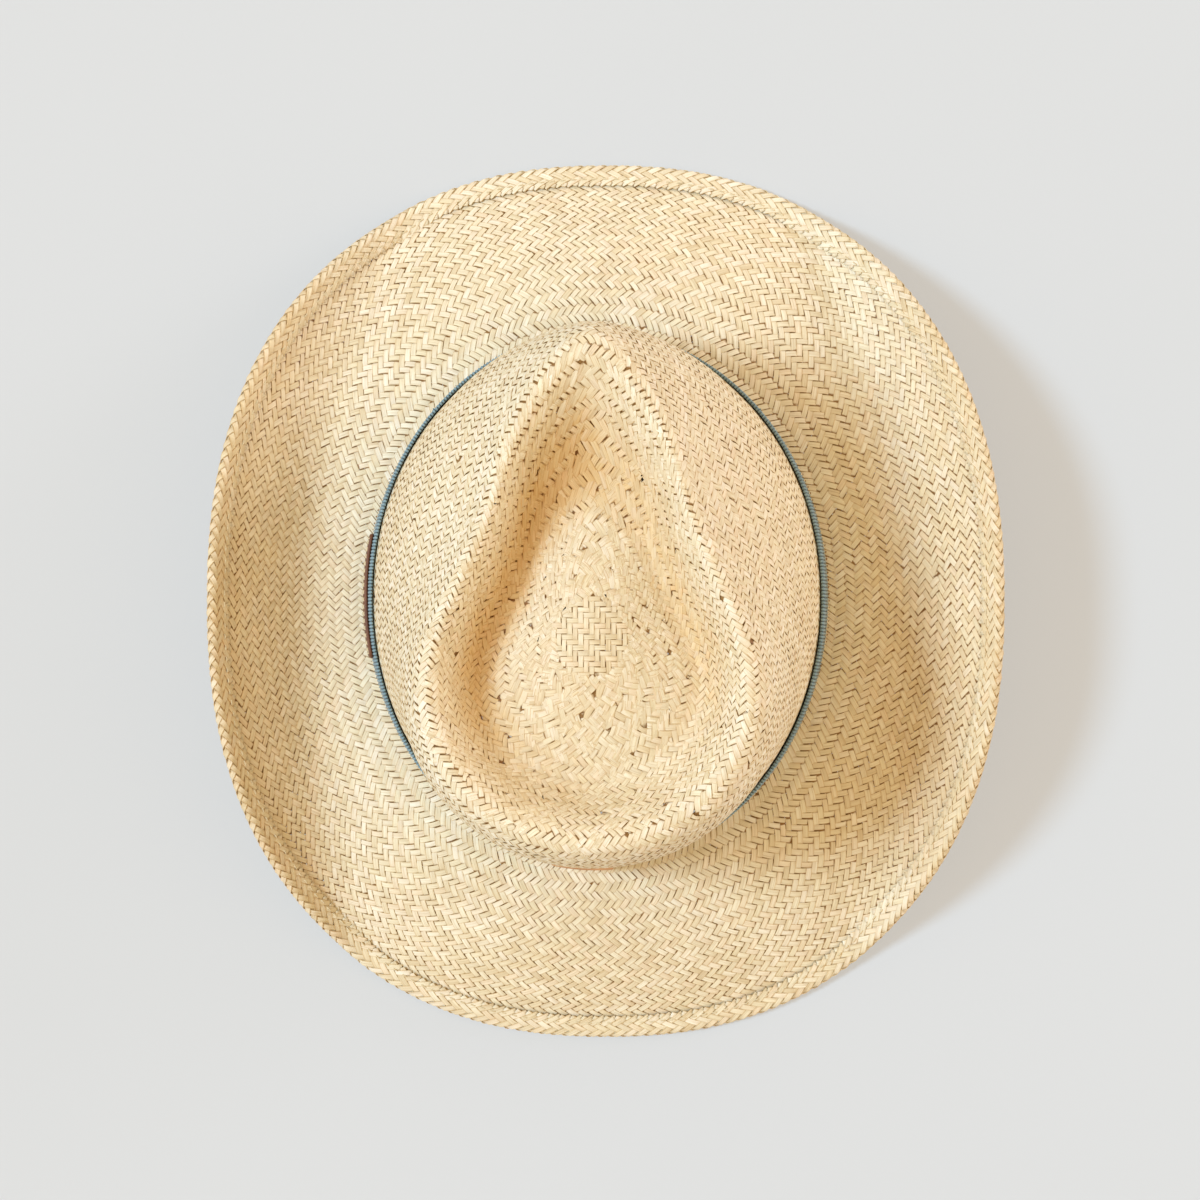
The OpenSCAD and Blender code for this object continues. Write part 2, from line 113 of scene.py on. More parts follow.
def ring_at(u):
    """The crown's ring row at each place u, on a Catmull-Rom curve through RINGS."""
    u = np.clip(np.asarray(u, float), 0, LAST_RING)
    i = np.minimum(u.astype(int), LAST_RING - 1)
    k = (u - i)[..., None]
    p0, p1, p2, p3 = (RINGS[np.clip(i + d, 0, LAST_RING)] for d in (-1, 0, 1, 2))
    return 0.5 * (2 * p1 + (p2 - p0) * k + (2 * p0 - 5 * p1 + 4 * p2 - p3) * k ** 2
                  + (3 * p1 - p0 - 3 * p2 + p3) * k ** 3)


def ridge_h(t):
    mean, half = (CROWN_FRONT_H + CROWN_BACK_H) / 2, (CROWN_FRONT_H - CROWN_BACK_H) / 2
    return mean + half * np.cos(rad(t)) + (CROWN_SIDE_H - mean) * np.sin(rad(t)) ** 2


def teardrop(t):
    t = np.mod(t, 360)
    from_front = np.minimum(t, 360 - t)
    dent = 1 - PINCH * np.exp(-((from_front - PINCH_AT) / PINCH_SPREAD) ** 2)
    return TEAR_SCALE * np.sqrt(np.sin(rad(t / 2)) ** 2 + TEAR_TIP) * dent


def half_width(t, r):
    """A ring's half width, with less of the wall's inward lean towards the front and back."""
    lean = np.where(r[..., 0] > WALL_ROWS_IN, np.minimum(r[..., 0], 0) * (1 - r[..., 5]), 0)
    c = np.cos(rad(t))
    return FOOT_A + r[..., 0] - lean * np.where(c > 0, FRONT_FULL * c, -BACK_FULL * c)


def crown_at(t, u):
    """Points of the straw's middle surface on the crown, in the CAD model's own place."""
    t, u = np.broadcast_arrays(np.asarray(t, float), np.asarray(u, float))
    r = ring_at(u)
    a, b = half_width(t, r), FOOT_B + r[..., 1]
    return np.stack([
        CROWN_SHIFT[0] + CROWN_LEAN * (r[..., 3] / CROWN_FRONT_H) ** 2
        + a * np.sin(rad(t)) * (1 - r[..., 5] + r[..., 5] * teardrop(t)),
        CROWN_SHIFT[1] + r[..., 2] - b * np.cos(rad(t)),
        FOOT_Z + r[..., 3] + r[..., 4] * (ridge_h(t) - CROWN_FRONT_H)], -1)


def signed_pow(v, p):
    return np.sign(v) * np.abs(v) ** p


def brim_at(t, f):
    """Points of the brim, from the crown's foot at f = 0 to the edge at f = 1."""
    t, f = np.broadcast_arrays(np.asarray(t, float), np.asarray(f, float))
    foot = crown_at(t, 0)
    edge_x = (BRIM_HALF_W - STRAW_T / 2) * signed_pow(np.sin(rad(t)), 2 / BRIM_POWER)
    edge_y = -(BRIM_HALF_L - STRAW_T / 2) * signed_pow(np.cos(rad(t)), 2 / BRIM_POWER)
    x = foot[..., 0] + f * (edge_x - foot[..., 0])
    y = foot[..., 1] + f * (edge_y - foot[..., 1])
    dip = BRIM_DIP * (1 - (1 - SIDE_DIP) * np.sin(rad(t)) ** 4)
    line = CURL_START - np.where(y < 0, CURL_FRONT_IN, CURL_BACK_IN) * (y / CURL_REACH) ** 2
    slope = np.where(x > 0, CURL_SLOPE_LEFT, CURL_SLOPE_RIGHT)
    curl = slope * CURL_SOFT * np.logaddexp(0, (np.abs(x) - line) / CURL_SOFT)
    sunk = dip * (DIP_EVEN * f + (1 - DIP_EVEN) * f * f)
    return np.stack([x, y, FOOT_Z - sunk + curl], -1)


def unit(v):
    return v / np.maximum(np.linalg.norm(v, axis=-1, keepdims=True), 1e-12)


def hem_at(t, out, up):
    """Points beside the brim's edge: out along the straw and up from its upper side."""
    t = np.asarray(t, float)
    edge = brim_at(t, FOLD_IN)
    way_out = unit(edge - brim_at(t, FOLD_IN - 0.02))
    way_up = unit(np.cross(brim_at(t + 1, FOLD_IN) - brim_at(t - 1, FOLD_IN), -way_out))
    return edge + way_out * np.asarray(out)[..., None] + way_up * np.asarray(up)[..., None]


SEAT = np.zeros(3)               # until seat() has measured it
WALL_RINGS = 9                   # the rings up to the ridge
WALL_H = RINGS[:WALL_RINGS, 3]


def wall_at(t, h, off):
    """A point on the crown's wall, h above its foot and moved out by off."""
    t, h, off = np.broadcast_arrays(*(np.asarray(v, float) for v in (t, h, off)))
    u = np.interp(h, WALL_H, np.arange(WALL_RINGS))
    r, p = ring_at(u), crown_at(t, u)
    n = unit(np.stack([np.sin(rad(t)) / half_width(t, r),
                       -np.cos(rad(t)) / (FOOT_B + r[..., 1]), np.zeros_like(t)], -1))
    p = p + n * off[..., None]
    p[..., 2] = FOOT_Z + h
    return p + SEAT


def seat():
    """How far the CAD model was moved to stand on z = 0, read from the ribbon's box."""
    t, h = np.meshgrid(np.arange(0, 360, 3.75), [RIBBON_H0, RIBBON_H0 + RIBBON_W])
    ring = wall_at(t, h, RIBBON_OFF + RIBBON_T).reshape(-1, 3)
    low, high = (np.array(c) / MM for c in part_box("hat_band"))
    return (low + high) / 2 - (ring.min(0) + ring.max(0)) / 2


SEAT = seat()

# ---------------------------------------------------------------- the straw as one unrolled grid

COLS = 720
HEM_ROWS, FOLD_ROWS, BRIM_ROWS, ROWS_PER_RING = 8, 17, 89, 20
ROW_BREAK = HEM_ROWS + FOLD_ROWS + BRIM_ROWS - 1        # the brim's last row


def straw_grid():
    """The middle surface, from the hem's cut edge over the fold and up to the crown's middle.

    Each row runs round the hat at even steps of its own length."""
    t = np.arange(COLS * 2) * 360 / (COLS * 2)
    fold_up = STRAW_T + GAP
    rows = []
    for s in np.linspace(1, 0, HEM_ROWS + 1)[:-1]:
        rows.append(hem_at(t, np.full_like(t, 0.5 - HEM_W * s),
                           np.full_like(t, fold_up + (2 * FOLD_R - fold_up) * (1 - s))))
    for a in np.linspace(90, -90, FOLD_ROWS):
        rows.append(hem_at(t, np.full_like(t, 0.5 + FOLD_R * math.cos(math.radians(a))),
                           np.full_like(t, FOLD_R + FOLD_R * math.sin(math.radians(a)))))
    for f in np.linspace(FOLD_IN, 0, BRIM_ROWS + 1)[:-1]:
        rows.append(brim_at(t, f))
    for u in np.linspace(0, LAST_RING, LAST_RING * ROWS_PER_RING + 1):
        rows.append(crown_at(t, u))
    even = []
    for row in rows:
        closed = np.vstack([row, row[:1]])
        length = np.concatenate([[0], np.cumsum(np.linalg.norm(np.diff(closed, axis=0), axis=1))])
        want = np.arange(COLS) / COLS * length[-1]
        even.append(np.stack([np.interp(want, length, closed[:, c]) for c in range(3)], -1))
    return np.array(even) + SEAT


GRID = straw_grid()
AROUND = np.linalg.norm(np.roll(GRID, -1, 1) - GRID, axis=2).sum(1)
ROW_STEP = np.linalg.norm(np.diff(GRID, axis=0), axis=2).mean(1)
ROW_S = np.concatenate([[0], np.cumsum(ROW_STEP)])
D_AROUND = (np.roll(GRID, -1, 1) - np.roll(GRID, 1, 1)) / (4 * math.pi / COLS)
D_ALONG = np.gradient(GRID, ROW_S, axis=0)
NORMAL = unit(np.cross(D_AROUND, D_ALONG))
NORMAL[-1] = (0, 0, 1)
SCALE_AROUND = np.linalg.norm(D_AROUND, axis=2)
SCALE_ALONG = np.linalg.norm(D_ALONG, axis=2)


def sample(field, theta, s):
    """The grid's field at angles theta and row lengths s, between its nodes."""
    r = np.interp(s, ROW_S, np.arange(len(ROW_S)))
    c = np.mod(theta / (2 * math.pi) * COLS, COLS)
    r0 = np.minimum(r.astype(int), len(ROW_S) - 2)
    c0 = c.astype(int) % COLS
    c1 = (c0 + 1) % COLS
    fr, fc = r - r0, c - np.floor(c)
    if field.ndim == 3:
        fr, fc = fr[..., None], fc[..., None]
    return ((field[r0, c0] * (1 - fc) + field[r0, c1] * fc) * (1 - fr)
            + (field[r0 + 1, c0] * (1 - fc) + field[r0 + 1, c1] * fc) * fr)


# ---------------------------------------------------------------- the weave

STRANDS = 236            # strands of each family around the crown's foot and all over the brim
STRAND_PITCH = 2.25      # across a strand, from one to the next
STRAND_MAX_W = 3.3
STRAND_END = 0.6         # a strand ends where there is less room across it than this
MAX_STEPS = 420
PHASE_STEP = 0.25        # of both families' phase: a step is half a crossing along a strand
FILL_AT, FILL = [60, 84, 150, 200], [0.96, 0.94, 0.95, 0.97]    # share of the room a strand fills
BUTTON_R, BUTTON_LAP, BUTTON_PITCH = 15.5, 4.5, 2.0     # the cross-woven middle of the crown
BUTTON_FILL, BUTTON_BOW = 0.94, 0.0035
STRAND_T = 0.28
STRAND_RISE = 0.28       # how far a strand rises and dips to pass over and under
RISE_FLAT = 1.4          # above 1, a strand runs level between its crossings
TUCK = 0.12              # how much deeper a strand's last end lies
FROM_TOP, TOP_SPACING = [60, 120], [3.1, 2.95]      # between strands along a ring, by its place
MAX_ALONG_PITCH = 5.2    # from strand to strand, straight up the crown
LAST_START = 2.0         # from the crown's middle to the last place where a strand may start
HEM_LIT_AT, HEM_LIT = [0, 2.5, 6, 8, 12, 15], [1, 0.5, 0.5, 0.85, 0.85, 0]   # share of the painted crevice shade taken away, by length from the hem's cut edge
SHADE_GOLD_RINGS, SHADE_GOLD = [9.7, 10.7, 11.5, 12.3, 13.2], [0, 0.55, 0.95, 0.8, 0.16]    # painted warm shade, partly a deeper golden tone, on the dent's slopes, by ring
SHADE_GOLD_BACK_Y, SHADE_GOLD_BACK = [25, 60], [1, 0.3]      # which fades towards the back of the dent
SHADE_GOLD_SIDE_X, SHADE_GOLD_SIDE = [-30, 0, 12, 30], [0.85, 0.85, 1.6, 1.6]   # and is deeper on the dent's +X side, whose slope faces away from the key light
# painted warm shade on the brim's curls, from this far out from the middle
SHADE_GOLD_CURL_FROM, SHADE_GOLD_CURL_OVER, SHADE_GOLD_CURL = 96.0, 30.0, 0.42
DENT_FROM, DENT_LIT = 9.6, 0.22      # the ring where the dent begins, and the share of the painted crevice shade taken away there
GOLDEN_ANGLE = math.pi * (3 - math.sqrt(5))


def ring_spacing():
    """Strands' spacing along each row of the grid, and the count of strands that cross it."""
    from_top = ROW_S[-1] - ROW_S
    wanted = np.interp(from_top, FROM_TOP, TOP_SPACING)
    count = np.minimum(AROUND / wanted, STRANDS)
    under_ribbon = np.clip((ROW_S - ROW_S[ROW_BREAK]) / RIBBON_W, 0, 1)
    count = STRANDS + (count - STRANDS) * under_ribbon
    count = np.maximum.accumulate(count[::-1])[::-1]
    return AROUND / np.maximum(count, 1e-6), count


SPACING, COUNT = ring_spacing()
ALONG_PITCH = 1 / np.sqrt(np.maximum(1 / STRAND_PITCH ** 2 - 1 / SPACING ** 2,
                                     1 / MAX_ALONG_PITCH ** 2))
RATIO = SPACING / ALONG_PITCH
LOG_SLOPE = -2 * math.pi / np.maximum(AROUND, 4) * RATIO      # of ln R, along a row length
LOG_R = np.concatenate([[0], np.cumsum((LOG_SLOPE[1:] + LOG_SLOPE[:-1]) / 2 * ROW_STEP)])


def strand_starts():
    """The places where one more strand of each family starts, as complex points."""
    k = np.arange(STRANDS)
    order = np.argsort(COUNT)
    s = np.interp(k + 0.5, COUNT[order], ROW_S[order])
    s = np.minimum(s, ROW_S[-1] - LAST_START)
    return np.exp(np.interp(s, ROW_S, LOG_R) + 1j * (k * GOLDEN_ANGLE))


CORES = strand_starts()


def phase_rate(log_z):
    """The weave's phase per unit of ln z, never so small that a step runs away."""
    z = np.exp(log_z)
    rate = (1 / (1 - CORES[None, :] / z[:, None])).sum(1) / (2 * math.pi)
    usual = np.interp(-log_z.real, -LOG_R, COUNT) / (2 * math.pi)
    size = np.abs(rate)
    return rate * np.maximum(1, 0.5 * usual / np.maximum(size, 1e-9))


def trace(family):
    """Follows every strand of one family from the hem inwards, half a crossing at a time.

    Returns for each strand an array with a row for each step: angle, row length, room across."""
    sign = 1 if family == "a" else -1
    log_z = 1j * (np.arange(STRANDS) + 0.5) * 2 * math.pi / STRANDS
    step = -PHASE_STEP * (1 + 1j * sign)
    alive = np.ones(STRANDS, bool)
    paths = [[] for _ in range(STRANDS)]
    for _ in range(MAX_STEPS):
        ids = np.flatnonzero(alive)
        if not len(ids):
            break
        here = log_z[ids]
        rate = phase_rate(here)
        s = np.interp(-here.real, -LOG_R, ROW_S)
        theta = here.imag
        around, along = sample(SCALE_AROUND, theta, s), sample(SCALE_ALONG, theta, s)
        slope = np.interp(s, ROW_S, LOG_SLOPE)
        across = np.hypot((rate.real + sign * rate.imag) / around,
                          (rate.imag - sign * rate.real) * slope / along)
        room = 1 / np.maximum(across, 1e-6)
        for n, i in enumerate(ids):
            paths[i].append((theta[n], s[n], room[n]))
        log_z[ids] = here + step / phase_rate(here + step / rate / 2)
        alive[ids] = (room > STRAND_END) & (log_z[ids].real > LOG_R[-1] + 0.05)
    return [np.array(p) for p in paths]


def smooth_noise(count, every, size):
    """A slowly changing random line."""
    knots = rng.normal(0, size, max(count // every, 1) + 2)
    return np.interp(np.arange(count) / every, np.arange(len(knots)), knots)


def ring_of(s):
    """Which ring of the crown a row length is on, counted from the crown's foot."""
    return (np.interp(s, ROW_S, np.arange(len(ROW_S))) - ROW_BREAK) / ROWS_PER_RING


def shade_and_gold(centre, s):
    """How much painted warm shade, partly a deeper golden tone of the straw, lies in the dent's
    slopes and on the brim's curls.
    """
    ring = ring_of(s)
    crown = np.interp(ring, SHADE_GOLD_RINGS, SHADE_GOLD) * np.interp(centre[:, 1], SHADE_GOLD_BACK_Y, SHADE_GOLD_BACK)
    crown = crown * np.interp(centre[:, 0], SHADE_GOLD_SIDE_X, SHADE_GOLD_SIDE)
    curl = np.clip((np.abs(centre[:, 0]) - SHADE_GOLD_CURL_FROM) / SHADE_GOLD_CURL_OVER, 0, 1) * SHADE_GOLD_CURL
    return np.where(ring > 0, crown, curl)


def strand_lines(paths, family):
    """Each path's centre line, upward way, half width, rise over two and under two, how much of its
    painted crevice shade is taken away, and its share of painted warm shade and golden tone."""
    sign = 1 if family == "a" else -1
    lines = []
    for path in paths:
        flat = sample(GRID, path[:, 0], path[:, 1]) - GRID[-1].mean(0)
        keep = np.hypot(flat[:, 0], flat[:, 1]) > BUTTON_R - BUTTON_LAP
        theta, s, room = path[keep].T
        n = len(theta)
        if n < 4:
            continue
        crossing = -0.5 * np.arange(n)
        wave = np.clip(RISE_FLAT * np.cos(2 * math.pi * (crossing - 0.5) / 4), -1, 1)
        rise = sign * STRAND_RISE * wave
        rise[-4:] = -STRAND_RISE - TUCK
        half = np.minimum(np.interp(s, FILL_AT, FILL) / 2 * room, STRAND_MAX_W / 2)
        lit = np.maximum(np.interp(s, HEM_LIT_AT, HEM_LIT), DENT_LIT * (ring_of(s) > DENT_FROM))
        centre = sample(GRID, theta, s)
        lines.append((centre, unit(sample(NORMAL, theta, s)), half, rise, lit, shade_and_gold(centre, s)))
    return lines


def apex_surface():
    """The crown's middle as a smooth height over x and y, for the woven button there."""
    points = GRID[ROW_S > ROW_S[-1] - BUTTON_R * 1.5].reshape(-1, 3)
    x, y = (points[:, c] - GRID[-1, :, c].mean() for c in (0, 1))
    terms = np.stack([np.ones_like(x), x, y, x * x, y * y, x * x * y, y ** 3, x ** 4, y ** 4,
                      x * x * y * y], 1)
    return np.linalg.lstsq(terms, points[:, 2], rcond=None)[0]


def button_lines():
    """Straight strands that cross squarely in the crown's middle, where its weave begins."""
    c = apex_surface()
    middle = GRID[-1].mean(0)
    lines = []

    def height(x, y):
        return (c[0] + c[1] * x + c[2] * y + c[3] * x * x + c[4] * y * y + c[5] * x * x * y
                + c[6] * y ** 3 + c[7] * x ** 4 + c[8] * y ** 4 + c[9] * x * x * y * y)

    half_count = int(BUTTON_R / BUTTON_PITCH)
    for way in (0, 1):
        for k in range(-half_count, half_count + 1):
            reach = math.sqrt(max(BUTTON_R ** 2 - (k * BUTTON_PITCH) ** 2, 0)) + rng.uniform(-1, 2)
            n = int(2 * reach / BUTTON_PITCH) * 2 + 1
            if n < 6:
                continue
            along = (np.arange(n) - (n - 1) / 2) * BUTTON_PITCH / 2
            across = np.full(n, k * BUTTON_PITCH) + BUTTON_BOW * along ** 2 * k / half_count
            x, y = (along, across) if way else (across, along)
            apart = 0.05
            gx = (height(x + apart, y) - height(x - apart, y)) / (2 * apart)
            gy = (height(x, y + apart) - height(x, y - apart)) / (2 * apart)
            up = unit(np.stack([-gx, -gy, np.ones_like(gx)], -1))
            crossing = along / BUTTON_PITCH + k - 0.5 + (0 if way else 2)
            rise = STRAND_RISE * np.clip(RISE_FLAT * np.cos(2 * math.pi * crossing / 4), -1, 1)
            rise[:2] = rise[-2:] = -STRAND_RISE
            centre = np.stack([middle[0] + x, middle[1] + y, height(x, y)], -1)
            lines.append((centre, up, np.full(n, BUTTON_PITCH * BUTTON_FILL / 2), rise,
                          np.full(n, DENT_LIT), np.full(n, SHADE_GOLD[-1])))
    return lines


def strand_ribbons(lines):
    """Flat strands along the lines, with their fibre directions, tints, and shares of painted shade
    in their slits, dent slopes and curls.
    """
    verts, faces, fibre, slit_light, shade_gold, base = [], [], [], [], [], 0
    for centre, up, half, rise, lit, shade_gold_here in lines:
        n = len(centre)
        way = np.gradient(centre, axis=0)
        side = unit(np.cross(up, way))
        half = half * rng.uniform(0.9, 1.04) * (1 + smooth_noise(n, 7, 0.035))
        shift = smooth_noise(n, 11, 0.07)
        tilt = smooth_noise(n, 13, 0.03) + rng.normal(0, 0.03)
        length = np.concatenate([[0], np.cumsum(np.linalg.norm(np.diff(centre, axis=0), axis=1))])
        tint, start = rng.uniform(0, 1), rng.uniform(0, 4000)
        for across, out in ((-1, -1), (1, -1), (1, 1), (-1, 1)):
            verts.append(centre + side * (shift + across * half)[:, None]
                         + up * (rise + across * tilt + out * STRAND_T / 2)[:, None])
            fibre.append(np.stack([np.full(n, across * 1.0), start + length, np.full(n, tint)], -1))
            # a strand's lower parts get painted shade, as if its crossing strands shaded them
            high = 0.5 + 0.5 * out * rise / STRAND_RISE
            slit_light.append(high + (1 - high) * lit)
            shade_gold.append(shade_gold_here)
        row = base + np.arange(n - 1)
        for c in range(4):
            a, b = row + c * n, row + (c + 1) % 4 * n
            faces.append(np.stack([a, b, b + 1, a + 1], -1))
        ends = base + np.arange(4) * n
        faces.append(np.stack([ends[::-1], ends + n - 1]))
        base += 4 * n
    fields = {"fibre": fibre, "slit_light": slit_light, "shade_gold": shade_gold}
    fields = {key: np.concatenate(values) for key, values in fields.items()}
    return np.concatenate(verts), np.concatenate(faces), fields


# ---------------------------------------------------------------- mesh helpers

def add_piece(name, material, verts, faces, fields=None, sharp=None):
    """A mesh piece from millimetre points and a list of equal-sided face arrays."""
    faces = [np.asarray(f, np.int32) for f in faces if len(f)]
    mesh = bpy.data.meshes.new(name)
    mesh.vertices.add(len(verts))
    mesh.vertices.foreach_set("co", (np.asarray(verts) * MM).astype(np.float32).ravel())
    corners = np.concatenate([f.ravel() for f in faces])
    sizes = np.concatenate([np.full(len(f), f.shape[1]) for f in faces])
    mesh.loops.add(len(corners))
    mesh.loops.foreach_set("vertex_index", corners)
    mesh.polygons.add(len(sizes))
    starts = np.concatenate([[0], np.cumsum(sizes)[:-1]]).astype(np.int32)
    mesh.polygons.foreach_set("loop_start", starts)
    mesh.update(calc_edges=True)
    mesh.validate()
    mesh.shade_smooth()
    if sharp is not None:
        ends = np.zeros(len(mesh.edges) * 2, np.int32)
        mesh.edges.foreach_get("vertices", ends)
        flags = sharp(ends[::2], ends[1::2])
        mesh.attributes.new("sharp_edge", "BOOLEAN", "EDGE").data.foreach_set("value", flags)
    for key, values in (fields or {}).items():
        kind, part = ("FLOAT_VECTOR", "vector") if values.ndim == 2 else ("FLOAT", "value")
        data = mesh.attributes.new(key, kind, "POINT").data
        data.foreach_set(part, values.astype(np.float32).ravel())
    mesh.materials.append(material)
    piece = bpy.data.objects.new(name, mesh)
    bpy.context.scene.collection.objects.link(piece)
    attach(piece, "root")
    return piece


def sweep(sections, closed):
    """Points and faces of a tube through sections, an array of (section, corner, xyz)."""
    n, m = sections.shape[:2]
    j = np.arange(n if closed else n - 1)[:, None]
    i = np.arange(m)[None, :]
    j2, i2 = (j + 1) % n, (i + 1) % m
    quads = np.stack(np.broadcast_arrays(j * m + i, j2 * m + i, j2 * m + i2, j * m + i2), -1)
    faces = [quads.reshape(-1, 4)]
    if not closed:
        faces.append(np.array([np.arange(m), (n - 1) * m + np.arange(m)[::-1]]))
    return sections.reshape(-1, 3), faces


def joined(parts):
    """Several (points, faces) as one."""
    verts, faces, base = [], [], 0
    for points, groups in parts:
        verts.append(points)
        faces += [g + base for g in groups]
        base += len(points)
    return np.concatenate(verts), faces


def flipped(faces):
    return [f[:, ::-1] for f in faces]


THREAD_SUNK = 0.035      # how far a stitch is pulled into the face


def thread(a, b, up, width):
    """One stitch from a to b, a round thread that arches over the face and dives in at its ends."""
    k = np.linspace(0, 1, 9)[:, None]
    line = a + (b - a) * k + up * (width * (0.5 - 1.1 * np.abs(2 * k - 1) ** 3) - THREAD_SUNK)
    side = unit(np.cross(b - a, up))
    turn = np.radians(np.arange(0, 360, 45))[None, :, None]
    size = width / 2 * (1 - 0.25 * np.abs(2 * k - 1) ** 4)[:, None]
    return sweep(line[:, None] + size * (np.cos(turn) * side + np.sin(turn) * up), False)


def wall_out(t, h):
    return unit(wall_at(t, h, 1.0) - wall_at(t, h, 0.0))


def wall_stitches(t0, t1, count, share, h, off, width):
    """A run of stitches along the wall, on the face that lies off its middle surface by off."""
    step, made = (t1 - t0) / count, []
    for k in range(count):
        t = t0 + (k + 0.5 + rng.normal(0, 0.03)) * step
        row, reach = h + rng.normal(0, 0.06), step * share / 2
        a, b = wall_at(t - reach, row, off), wall_at(t + reach, row, off)
        made.append(thread(a, b, np.sign(off) * wall_out(t, h), width))
    return made


def plate(place, t_mid, mm_per_deg, half_l, h0, h1, off0, off1, corner, edge):
    """A flat piece on the wall with rounded corners and softened edges."""
    sign = np.sign(off1 - off0)

    def line(half):
        rim = edge * (1 - np.cos(np.radians([0, 22.5, 45, 67.5])))
        flat = np.linspace(edge - half, half - edge, max(int(half * 1.6), 4) + 1)
        return np.concatenate([rim - half, flat, (half - rim)[::-1]])

    half_h = (h1 - h0) / 2
    x, y = np.meshgrid(line(half_l), line(half_h), indexing="ij")
    dx = np.maximum(np.abs(x) - half_l + corner, 0)
    dy = np.maximum(np.abs(y) - half_h + corner, 0)
    far = np.maximum(dx, dy)
    squeeze = np.where((dx > 0) & (dy > 0), far / np.maximum(np.hypot(dx, dy), 1e-9), 1)
    x = np.sign(x) * (np.abs(x) - dx + dx * squeeze)
    y = np.sign(y) * (np.abs(y) - dy + dy * squeeze)
    k = np.clip(1 - (corner - far) / edge, 0, 1)
    t, h = t_mid + x / mm_per_deg, (h0 + h1) / 2 + y
    top = place(t, h, off1 - sign * edge * (1 - np.sqrt(1 - k ** 2)))
    base = place(t, h, np.full_like(x, off0))
    nx, ny = x.shape
    ids = np.arange(nx * ny).reshape(nx, ny)
    grid = np.stack([ids[:-1, :-1], ids[1:, :-1], ids[1:, 1:], ids[:-1, 1:]], -1).reshape(-1, 4)
    loop = np.concatenate([ids[:-1, 0], ids[-1, :-1], ids[:0:-1, -1], ids[0, :0:-1]])
    after = np.roll(loop, -1)
    wall = np.stack([loop + nx * ny, after + nx * ny, after, loop], -1)
    faces = [grid, grid[:, ::-1] + nx * ny, wall]
    points = np.concatenate([top.reshape(-1, 3), base.reshape(-1, 3)])
    return points, faces if sign > 0 else flipped(faces)


# ---------------------------------------------------------------- materials

def srgb(r, g, b):
    """A colour given as 0-255 display values, as linear ones."""
    c = np.array([r, g, b]) / 255
    return tuple(np.where(c <= 0.04045, c / 12.92, ((c + 0.055) / 1.055) ** 2.4)) + (1.0,)


class Material:
    """A node material that is put together in few words."""

    def __init__(self, name, roughness, specular=0.5):
        self.made = bpy.data.materials.new(name)
        self.made.use_nodes = True
        self.tree = self.made.node_tree
        self.shader = self.tree.nodes["Principled BSDF"]
        self.shader.inputs["Roughness"].default_value = roughness
        self.shader.inputs["Specular IOR Level"].default_value = specular

    def add(self, kind, values=None, **settings):
        node = self.tree.nodes.new(kind)
        for key, value in settings.items():
            setattr(node, key, value)
        for key, value in (values or {}).items():
            if isinstance(value, bpy.types.NodeSocket):
                self.tree.links.new(value, node.inputs[key])
            else:
                node.inputs[key].default_value = value
        return node

    def ramp(self, factor, *stops):
        node = self.add("ShaderNodeValToRGB", {"Fac": factor})
        while len(node.color_ramp.elements) < len(stops):
            node.color_ramp.elements.new(0.5)
        for element, (place, colour) in zip(node.color_ramp.elements, stops):
            element.position, element.color = place, colour
        return node.outputs["Color"]

    def math(self, operation, *values):
        return self.add("ShaderNodeMath", dict(enumerate(values)), operation=operation).outputs[0]

    def noise(self, vector, scale, detail=3.0, roughness=0.5):
        return self.add("ShaderNodeTexNoise", {"Vector": vector, "Scale": scale, "Detail": detail,
                                               "Roughness": roughness}).outputs["Fac"]

    def mix(self, factor, a, b, blend="MIX"):
        node = self.add("ShaderNodeMix", data_type="RGBA", blend_type=blend)
        for index, value in ((0, factor), (6, a), (7, b)):
            if isinstance(value, bpy.types.NodeSocket):
                self.tree.links.new(value, node.inputs[index])
            else:
                node.inputs[index].default_value = value
        return node.outputs[2]

    def stretched(self, vector, scale):
        return self.add("ShaderNodeMapping", {"Vector": vector, "Scale": scale}).outputs["Vector"]

    def bump(self, height, distance, strength=1.0):
        node = self.add("ShaderNodeBump", {"Height": height, "Distance": distance,
                                           "Strength": strength})
        self.link(node.outputs["Normal"], "Normal")

    def link(self, value, key):
        self.tree.links.new(value, self.shader.inputs[key])

    def place(self):
        return self.add("ShaderNodeTexCoord").outputs["Object"]


SLIT_CHANCE, SLIT_LEVEL = 1.2, 0.57      # how much the painted shade in the slits varies, and its offset
